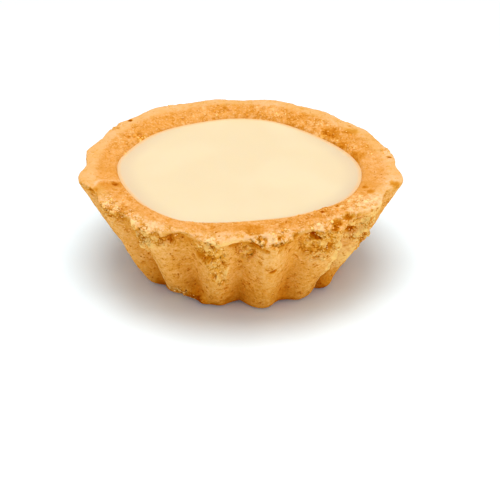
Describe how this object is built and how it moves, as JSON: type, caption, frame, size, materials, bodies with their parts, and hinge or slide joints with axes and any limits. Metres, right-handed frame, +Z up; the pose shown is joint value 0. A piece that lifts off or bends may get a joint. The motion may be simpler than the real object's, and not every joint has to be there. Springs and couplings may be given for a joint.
{
  "type": "milk tart",
  "caption": "Single-portion milk tart: a fluted shortcrust pastry case with a thick uneven rim, filled almost level with smooth set milk custard.",
  "frame": {"origin": "middle of the flat underside, under the centre of the tart's bounding box", "axes": "+Z up out of the custard, -Y to the front of the tart, where its rim is most worn, +X to its right"},
  "size_m": [0.0721, 0.071, 0.024],
  "materials": {
    "shortcrust": "dry, golden baked shortcrust pastry with a fine open crumb where it has broken",
    "custard": "smooth pale cream milk custard, set, with a soft satin surface"
  },
  "bodies": {
    "root": {"pastry_case": "shortcrust", "milk_custard": "custard"}
  },
  "joints": []
}
